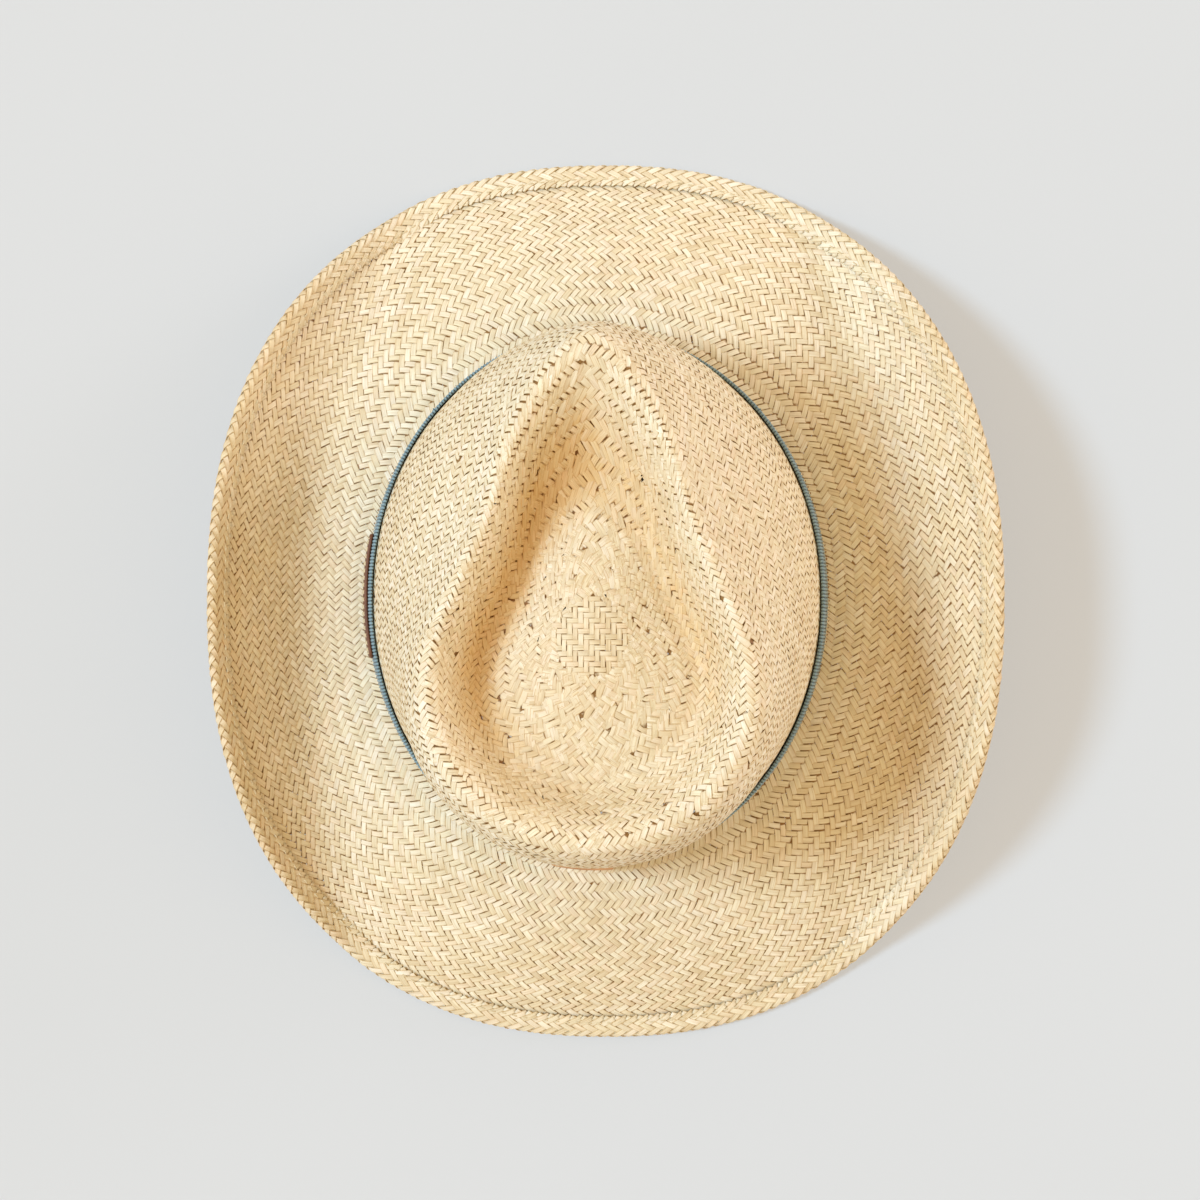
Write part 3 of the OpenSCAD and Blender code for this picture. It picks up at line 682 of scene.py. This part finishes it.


def straw_material():
    """Palm strips, tinted one by one, with fine fibres, painted shade at their edges and in the slits
    between them, and painted warm shade with a deeper golden tone in the dent and on the curls.
    """
    m = Material("straw", 0.5, 0.35)
    fibre = m.add("ShaderNodeAttribute", attribute_name="fibre").outputs["Vector"]
    parts = m.add("ShaderNodeSeparateXYZ", {"Vector": fibre})
    strand = m.ramp(parts.outputs["Z"], (0.0, srgb(240, 234, 213)), (0.17, srgb(247, 243, 227)),
                    (0.34, srgb(236, 225, 197)), (0.5, srgb(244, 239, 219)),
                    (0.68, srgb(239, 232, 207)), (0.84, srgb(244, 233, 211)),
                    (1.0, srgb(248, 245, 233)))
    lines = m.noise(m.stretched(fibre, (4.5, 0.05, 37.0)), 1.0, 4.0, 0.6)
    patches = m.noise(m.stretched(fibre, (0.35, 0.06, 91.0)), 1.0, 2.0)
    line_tint = m.ramp(lines, (0.28, (0.78, 0.70, 0.58, 1)), (0.5, (0.96, 0.94, 0.91, 1)),
                       (0.72, (1.05, 1.05, 1.04, 1)))
    patch_tint = m.ramp(patches, (0.3, (0.88, 0.83, 0.76, 1)), (0.65, (1.03, 1.03, 1.02, 1)))
    colour = m.mix(1.0, m.mix(1.0, strand, line_tint, "MULTIPLY"), patch_tint, "MULTIPLY")
    # painted shade along each strand's two edges, partly the strips' own browner edges
    rim = m.math("ABSOLUTE", parts.outputs["X"])
    edge_shade_tint = m.ramp(rim, (0.74, (1, 1, 1, 1)), (0.97, (0.82, 0.7, 0.53, 1)))
    slit_light = m.add("ShaderNodeAttribute", attribute_name="slit_light").outputs["Fac"]
    chance = m.noise(m.stretched(fibre, (0.2, 0.3, 53.0)), 1.0, 2.0)
    slit_light = m.math("MULTIPLY_ADD", chance, SLIT_CHANCE, slit_light)
    slit_light = m.math("SUBTRACT", slit_light, SLIT_LEVEL)
    # painted shade in the slits where a strand dips under its neighbours
    slit_shade_tint = m.ramp(slit_light, (0.31, (0.34, 0.2, 0.08, 1)), (0.52, (1, 1, 1, 1)))
    # painted warm shade, partly a deeper golden tone, in the dent's slopes and on the curls
    shade_gold = m.add("ShaderNodeAttribute", attribute_name="shade_gold").outputs["Fac"]
    shade_gold = m.math("MULTIPLY", shade_gold, patches)
    shade_gold_tint = m.ramp(shade_gold, (0.0, (1, 1, 1, 1)), (0.55, (0.87, 0.7, 0.48, 1)),
                       (0.9, (0.75, 0.54, 0.33, 1)))
    for tint in (shade_gold_tint, edge_shade_tint, slit_shade_tint):
        colour = m.mix(1.0, colour, tint, "MULTIPLY")
    m.link(colour, "Base Color")
    m.bump(lines, 0.00012, 0.7)
    return m.made


def leather(name, dark, light, roughness, cell):
    m = Material(name, roughness, 0.4)
    place = m.place()
    cells = m.add("ShaderNodeTexVoronoi", {"Vector": place, "Scale": cell}, feature="SMOOTH_F1")
    broad = m.noise(place, cell * 0.08, 4.0)
    fine = m.noise(place, cell * 2.2, 3.0)
    tone = m.mix(0.35, broad, fine)
    m.link(m.ramp(tone, (0.3, dark), (0.7, light)), "Base Color")
    height = m.mix(0.5, cells.outputs["Distance"], fine)
    m.bump(height, 0.00018, 0.6)
    return m.made


def cloth(name, dark, light, roughness, scale, sheen=0.15):
    """Woven or twisted thread."""
    m = Material(name, roughness, 0.25)
    m.shader.inputs["Sheen Weight"].default_value = sheen
    place = m.place()
    fine, broad = m.noise(place, scale), m.noise(place, scale * 0.07)
    m.link(m.ramp(m.mix(0.4, fine, broad), (0.32, dark), (0.68, light)), "Base Color")
    m.bump(fine, 0.00008, 0.7)
    return m.made


def ribbed_cloth(name, dark, light):
    """The ribbon's cloth, with painted shade in its grooves, where its mesh holds them."""
    m = Material(name, 0.75, 0.25)
    m.shader.inputs["Sheen Weight"].default_value = 0.25
    fine, broad = m.noise(m.place(), 2600), m.noise(m.place(), 180)
    groove = m.add("ShaderNodeAttribute", attribute_name="groove").outputs["Fac"]
    # painted shade in the ribs' grooves
    shade = m.ramp(groove, (0.25, (1, 1, 1, 1)), (0.95, (0.3, 0.31, 0.32, 1)))
    weave = m.ramp(m.mix(0.4, fine, broad), (0.32, dark), (0.68, light))
    m.link(m.mix(1.0, weave, shade, "MULTIPLY"), "Base Color")
    m.bump(fine, 0.00008, 0.7)
    return m.made


def metal(name, colour, roughness):
    m = Material(name, roughness)
    m.shader.inputs["Metallic"].default_value = 1.0
    scratch = m.noise(m.place(), 900, 4.0)
    darker = tuple(c * 0.75 for c in colour[:3]) + (1,)
    m.link(m.ramp(scratch, (0.3, darker), (0.7, colour)), "Base Color")
    m.bump(scratch, 0.00003, 0.5)
    return m.made


STRAW = straw_material()
RIBBON = ribbed_cloth("ribbon", srgb(112, 142, 156), srgb(150, 178, 190))
RIBBON_THREAD = cloth("ribbon_thread", srgb(90, 114, 124), srgb(125, 148, 156), 0.75, 5000)
BROWN = leather("brown_leather", srgb(92, 56, 38), srgb(132, 84, 58), 0.5, 1500)
TAN = leather("tan_leather", srgb(176, 124, 82), srgb(214, 166, 120), 0.5, 1500)
SWEATBAND = leather("sweatband", srgb(158, 128, 90), srgb(198, 166, 122), 0.55, 1900)
THREAD = cloth("thread", srgb(205, 188, 150), srgb(236, 222, 190), 0.75, 5000)
TAPE = cloth("tape", srgb(62, 58, 54), srgb(96, 90, 84), 0.85, 4200)
JOINT_TAPE = cloth("joint_tape", srgb(120, 98, 70), srgb(158, 132, 98), 0.8, 4200)
BOW = cloth("bow", srgb(44, 42, 41), srgb(78, 75, 72), 0.6, 3600, sheen=0.4)
TAG = cloth("tag", srgb(226, 226, 222), srgb(246, 246, 243), 0.7, 3200)
REED = cloth("reed", srgb(214, 208, 190), srgb(236, 232, 220), 0.4, 900)
STEEL = metal("wire", srgb(150, 154, 158), 0.35)
SLEEVE = metal("sleeve", srgb(190, 190, 186), 0.3)


# ---------------------------------------------------------------- the straw

def long_edges(a, b):
    """The four edges along each strand, where neighbouring points are next to each other."""
    return np.abs(a - b) == 1


for family in ("a", "b"):
    paths = trace(family)
    for third in range(3):
        some = paths[STRANDS * third // 3:STRANDS * (third + 1) // 3]
        lines = strand_lines(some, family)
        lines += button_lines() if (family, third) == ("a", 0) else []
        points, quads, fields = strand_ribbons(lines)
        piece = add_piece(f"straw_strands_{family}{third + 1}", STRAW, points, [quads], fields,
                          long_edges)
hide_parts("straw_body")


# ---------------------------------------------------------------- wire, sleeve and hem stitches

FINE = np.arange(0, 360, 0.5)


def hem_tube(angles, radius, corners=10):
    """The sections of a tube that runs inside the hem's fold."""
    turn = np.radians(np.arange(corners) * 360 / corners)
    rings = [hem_at(angles, np.full(len(angles), 0.5 + radius * math.cos(a)),
                    np.full(len(angles), FOLD_R + radius * math.sin(a))) for a in turn]
    return np.stack(rings, 1) + SEAT


WIRE_R, SLEEVE_INNER_R, SLEEVE_OUTER_R = 0.4, 0.44, 0.62
points, faces = sweep(hem_tube(np.arange(180.3, 539.8, 0.5), WIRE_R), False)
wire = add_piece("hem_wire", STEEL, points, flipped(faces))
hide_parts("brim_wire")

sleeve_at = np.arange(176, 184.1, 0.5)
outer, inner = (hem_tube(sleeve_at, r, 16) for r in (SLEEVE_OUTER_R, SLEEVE_INNER_R))
points, faces = sweep(np.concatenate([outer, inner[::-1]]), True)
sleeve = add_piece("hem_wire_sleeve", SLEEVE, points, faces)
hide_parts("brim_wire_sleeve")


HEM_STITCH_S = 2.2               # from the hem's cut edge
HEM_STITCHES = 250
HEM_STITCH_UP = 0.45
made = []
for k in range(HEM_STITCHES):
    theta = (k + rng.normal(0, 0.03)) * 2 * math.pi / HEM_STITCHES
    reach = 0.6 * math.pi / HEM_STITCHES
    row = HEM_STITCH_S + rng.normal(0, 0.1)
    ends = sample(GRID, np.array([theta - reach, theta + reach]), np.array([row, row]))
    up = -unit(sample(NORMAL, np.array([theta]), np.array([row])))[0]
    up = up if up[2] > 0 else -up
    made.append(thread(*(ends + up * HEM_STITCH_UP), up, 0.55))
hem_stitches = add_piece("hem_stitches", THREAD, *joined(made))
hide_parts("hem_stitching")


# ---------------------------------------------------------------- hat band, patch and keeper

RIBBON_LEAN = 0.3        # how far the ribbon's top edge stands off the crown
RIB_PITCH, RIB_DEPTH, RIB_POINTS = 1.3, 0.4, 6
LEAN_WAVES = rng.uniform(0, 2 * math.pi, 4)


def ribbon_at(t, h, off):
    """A place on the ribbon, which stands a little off the crown at its top edge."""
    t, h = np.asarray(t, float), np.asarray(h, float)
    up = np.clip((h - RIBBON_H0) / RIBBON_W, 0, 1.1)
    wave = sum(np.sin(rad(t) * (k + 2) + LEAN_WAVES[k]) for k in range(4)) / 4
    return wall_at(t, h, off + RIBBON_LEAN * up ** 1.5 * (1 + 0.45 * wave))


def ring_angles(h, count):
    """Angles at even steps along the wall at height h."""
    t = np.arange(0, 360.01, 0.25)
    line = wall_at(t, h, RIBBON_OFF)
    length = np.concatenate([[0], np.cumsum(np.linalg.norm(np.diff(line, axis=0), axis=1))])
    return np.interp(np.arange(count) / count * length[-1], length, t), length[-1]


_, ribbon_length = ring_angles(RIBBON_H0 + RIBBON_W / 2, 4)
ribs = int(ribbon_length / RIB_PITCH)
rib_t, _ = ring_angles(RIBBON_H0 + RIBBON_W / 2, ribs * RIB_POINTS)
rib = np.abs(np.cos(np.arange(ribs * RIB_POINTS) * math.pi / RIB_POINTS)) ** 3 * RIB_DEPTH
bottom, top = RIBBON_H0, RIBBON_H0 + RIBBON_W
outer = RIBBON_OFF + RIBBON_T - rib
rows = [(bottom + rib * 0.5, RIBBON_OFF + 0.1), (bottom + rib * 0.5, outer - 0.25)]
rows += [(bottom + 0.3 + (RIBBON_W - 0.6) * k / 6, outer) for k in range(7)]
rows += [(top - 0.15 - rib * 0.5, outer - 0.2), (top - rib * 0.5, outer - 0.5)]
rows += [(top - rib * 0.5, RIBBON_OFF + 0.4 + rib), (top - 0.3 - rib * 0.5, RIBBON_OFF + 0.1)]
rows += [(top - RIBBON_W * k / 3, RIBBON_OFF) for k in (1, 2)]
points, faces = sweep(np.stack([ribbon_at(rib_t, h, off + 0 * rib) for h, off in rows], 1), True)
groove = np.repeat(rib / RIB_DEPTH, len(rows))
ribbon = add_piece("ribbed_ribbon", RIBBON, points, faces, {"groove": groove})
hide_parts("hat_band")

made = []
for t in (0, 45, 135, 225, 270, 315):
    a, b = (ribbon_at(t, top - down, RIBBON_OFF + RIBBON_T) for down in (3.2, 0.5))
    made.append(thread(a, b, wall_out(t, top - 2), 0.5))
tacks = add_piece("ribbon_tacks", RIBBON_THREAD, *joined(made))
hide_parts("band_tacks")

PATCH_CORNER, PATCH_EDGE, PATCH_INSET = 2.2, 0.55, 2.0
patch_top = PATCH_OFF + PATCH_T
patch = add_piece("leather_patch", BROWN,
                  *plate(ribbon_at, PATCH_MID, SIDE_MM_PER_DEG, PATCH_L / 2, PATCH_H0,
                         PATCH_H0 + PATCH_H, PATCH_OFF, patch_top, PATCH_CORNER, PATCH_EDGE))
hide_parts("side_patch")


def ribbon_thread_run(t0, t1, h0, h1, count, share, off, width):
    """Stitches from one place on the ribbon to another."""
    made = []
    for k in range(count):
        mid = (k + 0.5 + rng.normal(0, 0.03)) / count
        ends = [mid - share / 2 / count, mid + share / 2 / count]
        a, b = (ribbon_at(t0 + (t1 - t0) * e, h0 + (h1 - h0) * e, off) for e in ends)
        made.append(thread(a, b, wall_out((t0 + t1) / 2, (h0 + h1) / 2), width))
    return made


patch_turn = (PATCH_L / 2 - PATCH_INSET) / SIDE_MM_PER_DEG
patch_ends = (PATCH_MID - patch_turn, PATCH_MID + patch_turn)
low_row, high_row = PATCH_H0 + PATCH_INSET, PATCH_H0 + PATCH_H - PATCH_INSET
made = []
for h in (low_row, high_row):
    made += ribbon_thread_run(*patch_ends, h, h, 16, 0.68, patch_top, 0.6)
for t in patch_ends:
    made += ribbon_thread_run(t, t, low_row + 0.4, high_row - 0.4, 5, 0.68, patch_top, 0.6)
patch_thread = add_piece("patch_thread", THREAD, *joined(made))
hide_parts("side_patch_stitching")

KEEPER_ROUND = 1.1
under = RIBBON_OFF + RIBBON_T + 0.1
keeper_top = under + KEEPER_T
end0, end1 = RIBBON_H0 - 0.2 - KEEPER_OVER, RIBBON_H0 + RIBBON_W + 0.2 + KEEPER_OVER
rounding = [(KEEPER_ROUND * (1 - math.cos(math.radians(a))),
             keeper_top - KEEPER_ROUND * (1 - math.sin(math.radians(a)))) for a in (0, 30, 60, 90)]
profile = [(end0, RIBBON_OFF)] + [(end0 + along, off) for along, off in rounding]
profile += [(end0 + KEEPER_ROUND + (end1 - end0 - 2 * KEEPER_ROUND) * k / 8, keeper_top)
            for k in range(1, 8)]
profile += [(end1 - along, off) for along, off in rounding[::-1]]
profile += [(end1, RIBBON_OFF), (end1 - KEEPER_OVER, RIBBON_OFF), (end1 - KEEPER_OVER, under)]
profile += [((end0 + end1) / 2, under), (end0 + KEEPER_OVER, under), (end0 + KEEPER_OVER, RIBBON_OFF)]
half_turn = KEEPER_L / 2 / BACK_MM_PER_DEG
KEEPER_FLAT = 0.94       # the share of its length before its softened ends
places = [-1, -0.99, -0.97, -KEEPER_FLAT, *np.linspace(-0.9, 0.9, 19), KEEPER_FLAT, 0.97, 0.99, 1]
sections = []
for k in places:
    edge = min(max(abs(k) - KEEPER_FLAT, 0) / (1 - KEEPER_FLAT), 1)
    drop = 0.45 * (1 - math.sqrt(1 - edge ** 2))
    sections.append([ribbon_at(KEEPER_MID + k * half_turn, h, off - (drop if off > under else 0))
                     for h, off in profile])
points, faces = sweep(np.array(sections), False)
keeper = add_piece("leather_keeper", TAN, points, faces)
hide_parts("rear_keeper")
made = []
for side in (-1, 1):
    t = KEEPER_MID + side * (half_turn - 1.3)
    made += ribbon_thread_run(t, t, bottom + 0.4, top - 0.4, 8, 0.66, keeper_top, 0.55)
keeper_thread = add_piece("keeper_thread", THREAD, *joined(made))
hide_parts("rear_keeper_stitching")


# ---------------------------------------------------------------- sweatband and what is sewn to it

SWEAT_WAVES = rng.uniform(0, 2 * math.pi, 9)
SWEAT_STEPS = 12


def inside_at(t, h, off):
    """A place inside the crown, on the slightly wavy sweatband or on what lies on it."""
    t, h = np.asarray(t, float), np.asarray(h, float)
    up = np.clip((h - SWEAT_H0) / SWEAT_W, 0, 1)
    wave = sum(np.sin(rad(t) * (k + 3) + SWEAT_WAVES[k]) / (k + 2) for k in range(9))
    return wall_at(t, h, off - up ** 1.4 * (0.35 + 0.22 * wave))


sweat_t = np.linspace(180.25, 539.75, 721)
heights = [SWEAT_H0 + SWEAT_W * k / SWEAT_STEPS for k in range(SWEAT_STEPS + 1)]
rows = [(h, -SWEAT_OUT - 0.05) for h in heights]
rows += [(heights[-1] + 0.25, -SWEAT_OUT - 0.3), (heights[-1] + 0.25, -SWEAT_IN + 0.3)]
rows += [(h, -SWEAT_IN) for h in heights[::-1]]
points, faces = sweep(np.stack([inside_at(sweat_t, h, off) for h, off in rows], 1), False)
sweatband = add_piece("leather_sweatband", SWEATBAND, points, flipped(faces))
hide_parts("sweatband")

REED_R, REED_OFF, REED_H = 0.7, STRAW_T / 2 + GAP + 1, 0.6
TAPE_T, TAPE_R, TAPE_TOP, TAPE_OFF = 0.2, 1.0, 8.0, STRAW_T / 2 + GAP
REED_LINE_H = 2.6        # the height at which the wall's outline gives the reed's


def round_reed(angles, radius):
    """Lines along the reed at this radius from its middle, one for each angle."""
    return [wall_at(FINE, REED_LINE_H, -REED_OFF + radius * math.cos(a))
            + np.array([0, 0, REED_H + radius * math.sin(a) - REED_LINE_H]) for a in angles]


turns = np.radians(np.arange(0, 360, 30))
points, faces = sweep(np.stack(round_reed(turns, REED_R), 1), True)
reed = add_piece("plastic_reed", REED, points, flipped(faces))
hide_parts("sweatband_reed")

wrap = np.radians(np.arange(0, -261, -20))
strip = [wall_at(FINE, TAPE_TOP, -TAPE_OFF)]
strip += round_reed(wrap, TAPE_R) + round_reed(wrap[::-1], TAPE_R - TAPE_T)
strip += [wall_at(FINE, TAPE_TOP, -TAPE_OFF - TAPE_T)]
points, faces = sweep(np.stack(strip, 1), True)
tape = add_piece("reed_tape_cloth", TAPE, points, faces)
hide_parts("reed_tape")

made = wall_stitches(0, 360, 180, 0.62, SWEAT_H0 + 1.8, -SWEAT_IN, 0.55)
sweat_thread = add_piece("sweatband_thread", THREAD, *joined(made))
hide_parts("sweatband_stitching")

JOINT_HALF_W = 4.3
joint = add_piece("joint_tape_strip", JOINT_TAPE,
                  *plate(inside_at, 180, BACK_MM_PER_DEG, JOINT_HALF_W, SWEAT_H0 + 3.4,
                         SWEAT_H0 + SWEAT_W - 0.4, -JOINT_OFF, -JOINT_OFF - JOINT_T, 0.6, 0.2))
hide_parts("sweatband_joint")

BOW_H, BOW_W, BOW_REACH, BOW_DEPTH, BOW_KNOT = 27.0, 4.5, 13.0, 3.4, 1.2


def bow_loop(way):
    """One loop of the bow, a ribbon on edge that goes out from the knot and comes back."""
    sections = []
    for a in np.radians(np.arange(0, 360, 9)) * way:
        s = BOW_REACH * (1 - math.cos(a)) / 2
        d = BOW_DEPTH / 2 * math.sin(a) * (0.25 + 0.75 * s / BOW_REACH)
        flare = 0.35 * s / BOW_REACH
        row = []
        for keep, h in ((1, -1), (1, 1), (0.84, 1), (0.84, -1)):
            along = 0.6 * BOW_REACH + keep * (s - 0.6 * BOW_REACH)
            row.append(inside_at(180 + way * (BOW_KNOT + 0.1 + along / BACK_MM_PER_DEG),
                                 BOW_H + h * (BOW_W / 2 + flare),
                                 keep * d - JOINT_OFF - JOINT_T - 0.4 - BOW_DEPTH / 2))
        sections.append(row)
    return sweep(np.array(sections), True)


near = JOINT_OFF + JOINT_T + 0.2
tail_h = BOW_H - BOW_W / 2 - 1.2
parts = [bow_loop(-1), bow_loop(1)]
for way in (-1, 1):
    parts.append(plate(inside_at, 180 + way * 2.9, BACK_MM_PER_DEG, 3.8, tail_h - 4, tail_h,
                       -near, -near - 0.4, 0.3, 0.12))
parts.append(plate(inside_at, 180, BACK_MM_PER_DEG, BOW_KNOT * BACK_MM_PER_DEG, tail_h + 0.1,
                   BOW_H + BOW_W / 2 + 0.8, -near, -near - BOW_DEPTH - 0.6, 1.2, 1.1))
bow = add_piece("ribbon_bow", BOW, *joined(parts))
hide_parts("sweatband_bow")

TAG_MID, TAG_L, TAG_H0, TAG_W, TAG_T = 196, 18.2, 16, 12, 0.4
tag = add_piece("blank_tag", TAG,
                *plate(inside_at, TAG_MID, BACK_MM_PER_DEG, TAG_L / 2, TAG_H0, TAG_H0 + TAG_W,
                       -JOINT_OFF, -JOINT_OFF - TAG_T, 1, 0.15))
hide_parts("size_tag")


# ---------------------------------------------------------------- floor, light and camera

floor_mat = Material("floor", 0.9, 0.1)
grain = floor_mat.noise(floor_mat.place(), 3.0, 2.0)
floor_mat.link(floor_mat.ramp(grain, (0.3, (0.32, 0.34, 0.36, 1)), (0.7, (0.33, 0.35, 0.37, 1))),
               "Base Color")
floor_mat.shader.inputs["Emission Color"].default_value = (0.98, 0.99, 1.0, 1)
floor_mat.shader.inputs["Emission Strength"].default_value = 0.36
FLOOR = 6.0              # metres from the middle to each side
floor_mesh = bpy.data.meshes.new("floor")
floor_mesh.from_pydata([(x * FLOOR, y * FLOOR, 0) for x, y in ((-1, -1), (1, -1), (1, 1), (-1, 1))],
                       [], [(0, 1, 2, 3)])
floor_mesh.materials.append(floor_mat.made)
floor = bpy.data.objects.new("floor", floor_mesh)
bpy.context.scene.collection.objects.link(floor)

KEY_FROM = (0.62, -0.07, 0.77)     # towards the light
FILL_FROM = (-0.88, -0.42, 0.13)


def sun(name, towards, energy, spread, colour):
    light = bpy.data.lights.new(name, "SUN")
    light.energy, light.angle, light.color = energy, math.radians(spread), colour
    lamp = bpy.data.objects.new(name, light)
    lamp.rotation_mode = "QUATERNION"
    lamp.rotation_quaternion = Vector(towards).to_track_quat("Z", "Y")
    bpy.context.scene.collection.objects.link(lamp)


sun("key", KEY_FROM, 2.5, 13, (0.555, 0.775, 1.0))
sun("fill", FILL_FROM, 1.35, 26, (0.86, 0.88, 1.0))

world = bpy.data.worlds.new("studio")
world.use_nodes = True
sky = world.node_tree
sky_way = sky.nodes.new("ShaderNodeSeparateXYZ")
sky.links.new(sky.nodes.new("ShaderNodeTexCoord").outputs["Generated"], sky_way.inputs[0])
glow = sky.nodes.new("ShaderNodeValToRGB")
glow.color_ramp.elements[0].color = (0.77, 0.58, 0.35, 1)
glow.color_ramp.elements[1].color = (0.88, 0.66, 0.4, 1)
sky.links.new(sky_way.outputs["Z"], glow.inputs["Fac"])
sky.links.new(glow.outputs["Color"], sky.nodes["Background"].inputs["Color"])
sky.nodes["Background"].inputs["Strength"].default_value = 1.02
backdrop = sky.nodes.new("ShaderNodeBackground")       # what is seen behind the floor
backdrop.inputs["Color"].default_value = srgb(227, 227, 225)
seen = sky.nodes.new("ShaderNodeMixShader")
sky.links.new(sky.nodes.new("ShaderNodeLightPath").outputs["Is Camera Ray"], seen.inputs["Fac"])
sky.links.new(sky.nodes["Background"].outputs[0], seen.inputs[1])
sky.links.new(backdrop.outputs[0], seen.inputs[2])
sky.links.new(seen.outputs[0], sky.nodes["World Output"].inputs["Surface"])
bpy.context.scene.world = world
bpy.context.scene.view_settings.view_transform = "Standard"

lens = bpy.data.cameras.new("camera")
lens.sensor_width = 36
lens.lens = 140.6
lens.clip_start, lens.clip_end = 0.1, 20
camera = bpy.data.objects.new("camera", lens)
camera.location = (0.0025, -0.0004, 1.845)
camera.rotation_euler = (0, 0, math.pi)
bpy.context.scene.collection.objects.link(camera)
bpy.context.scene.camera = camera
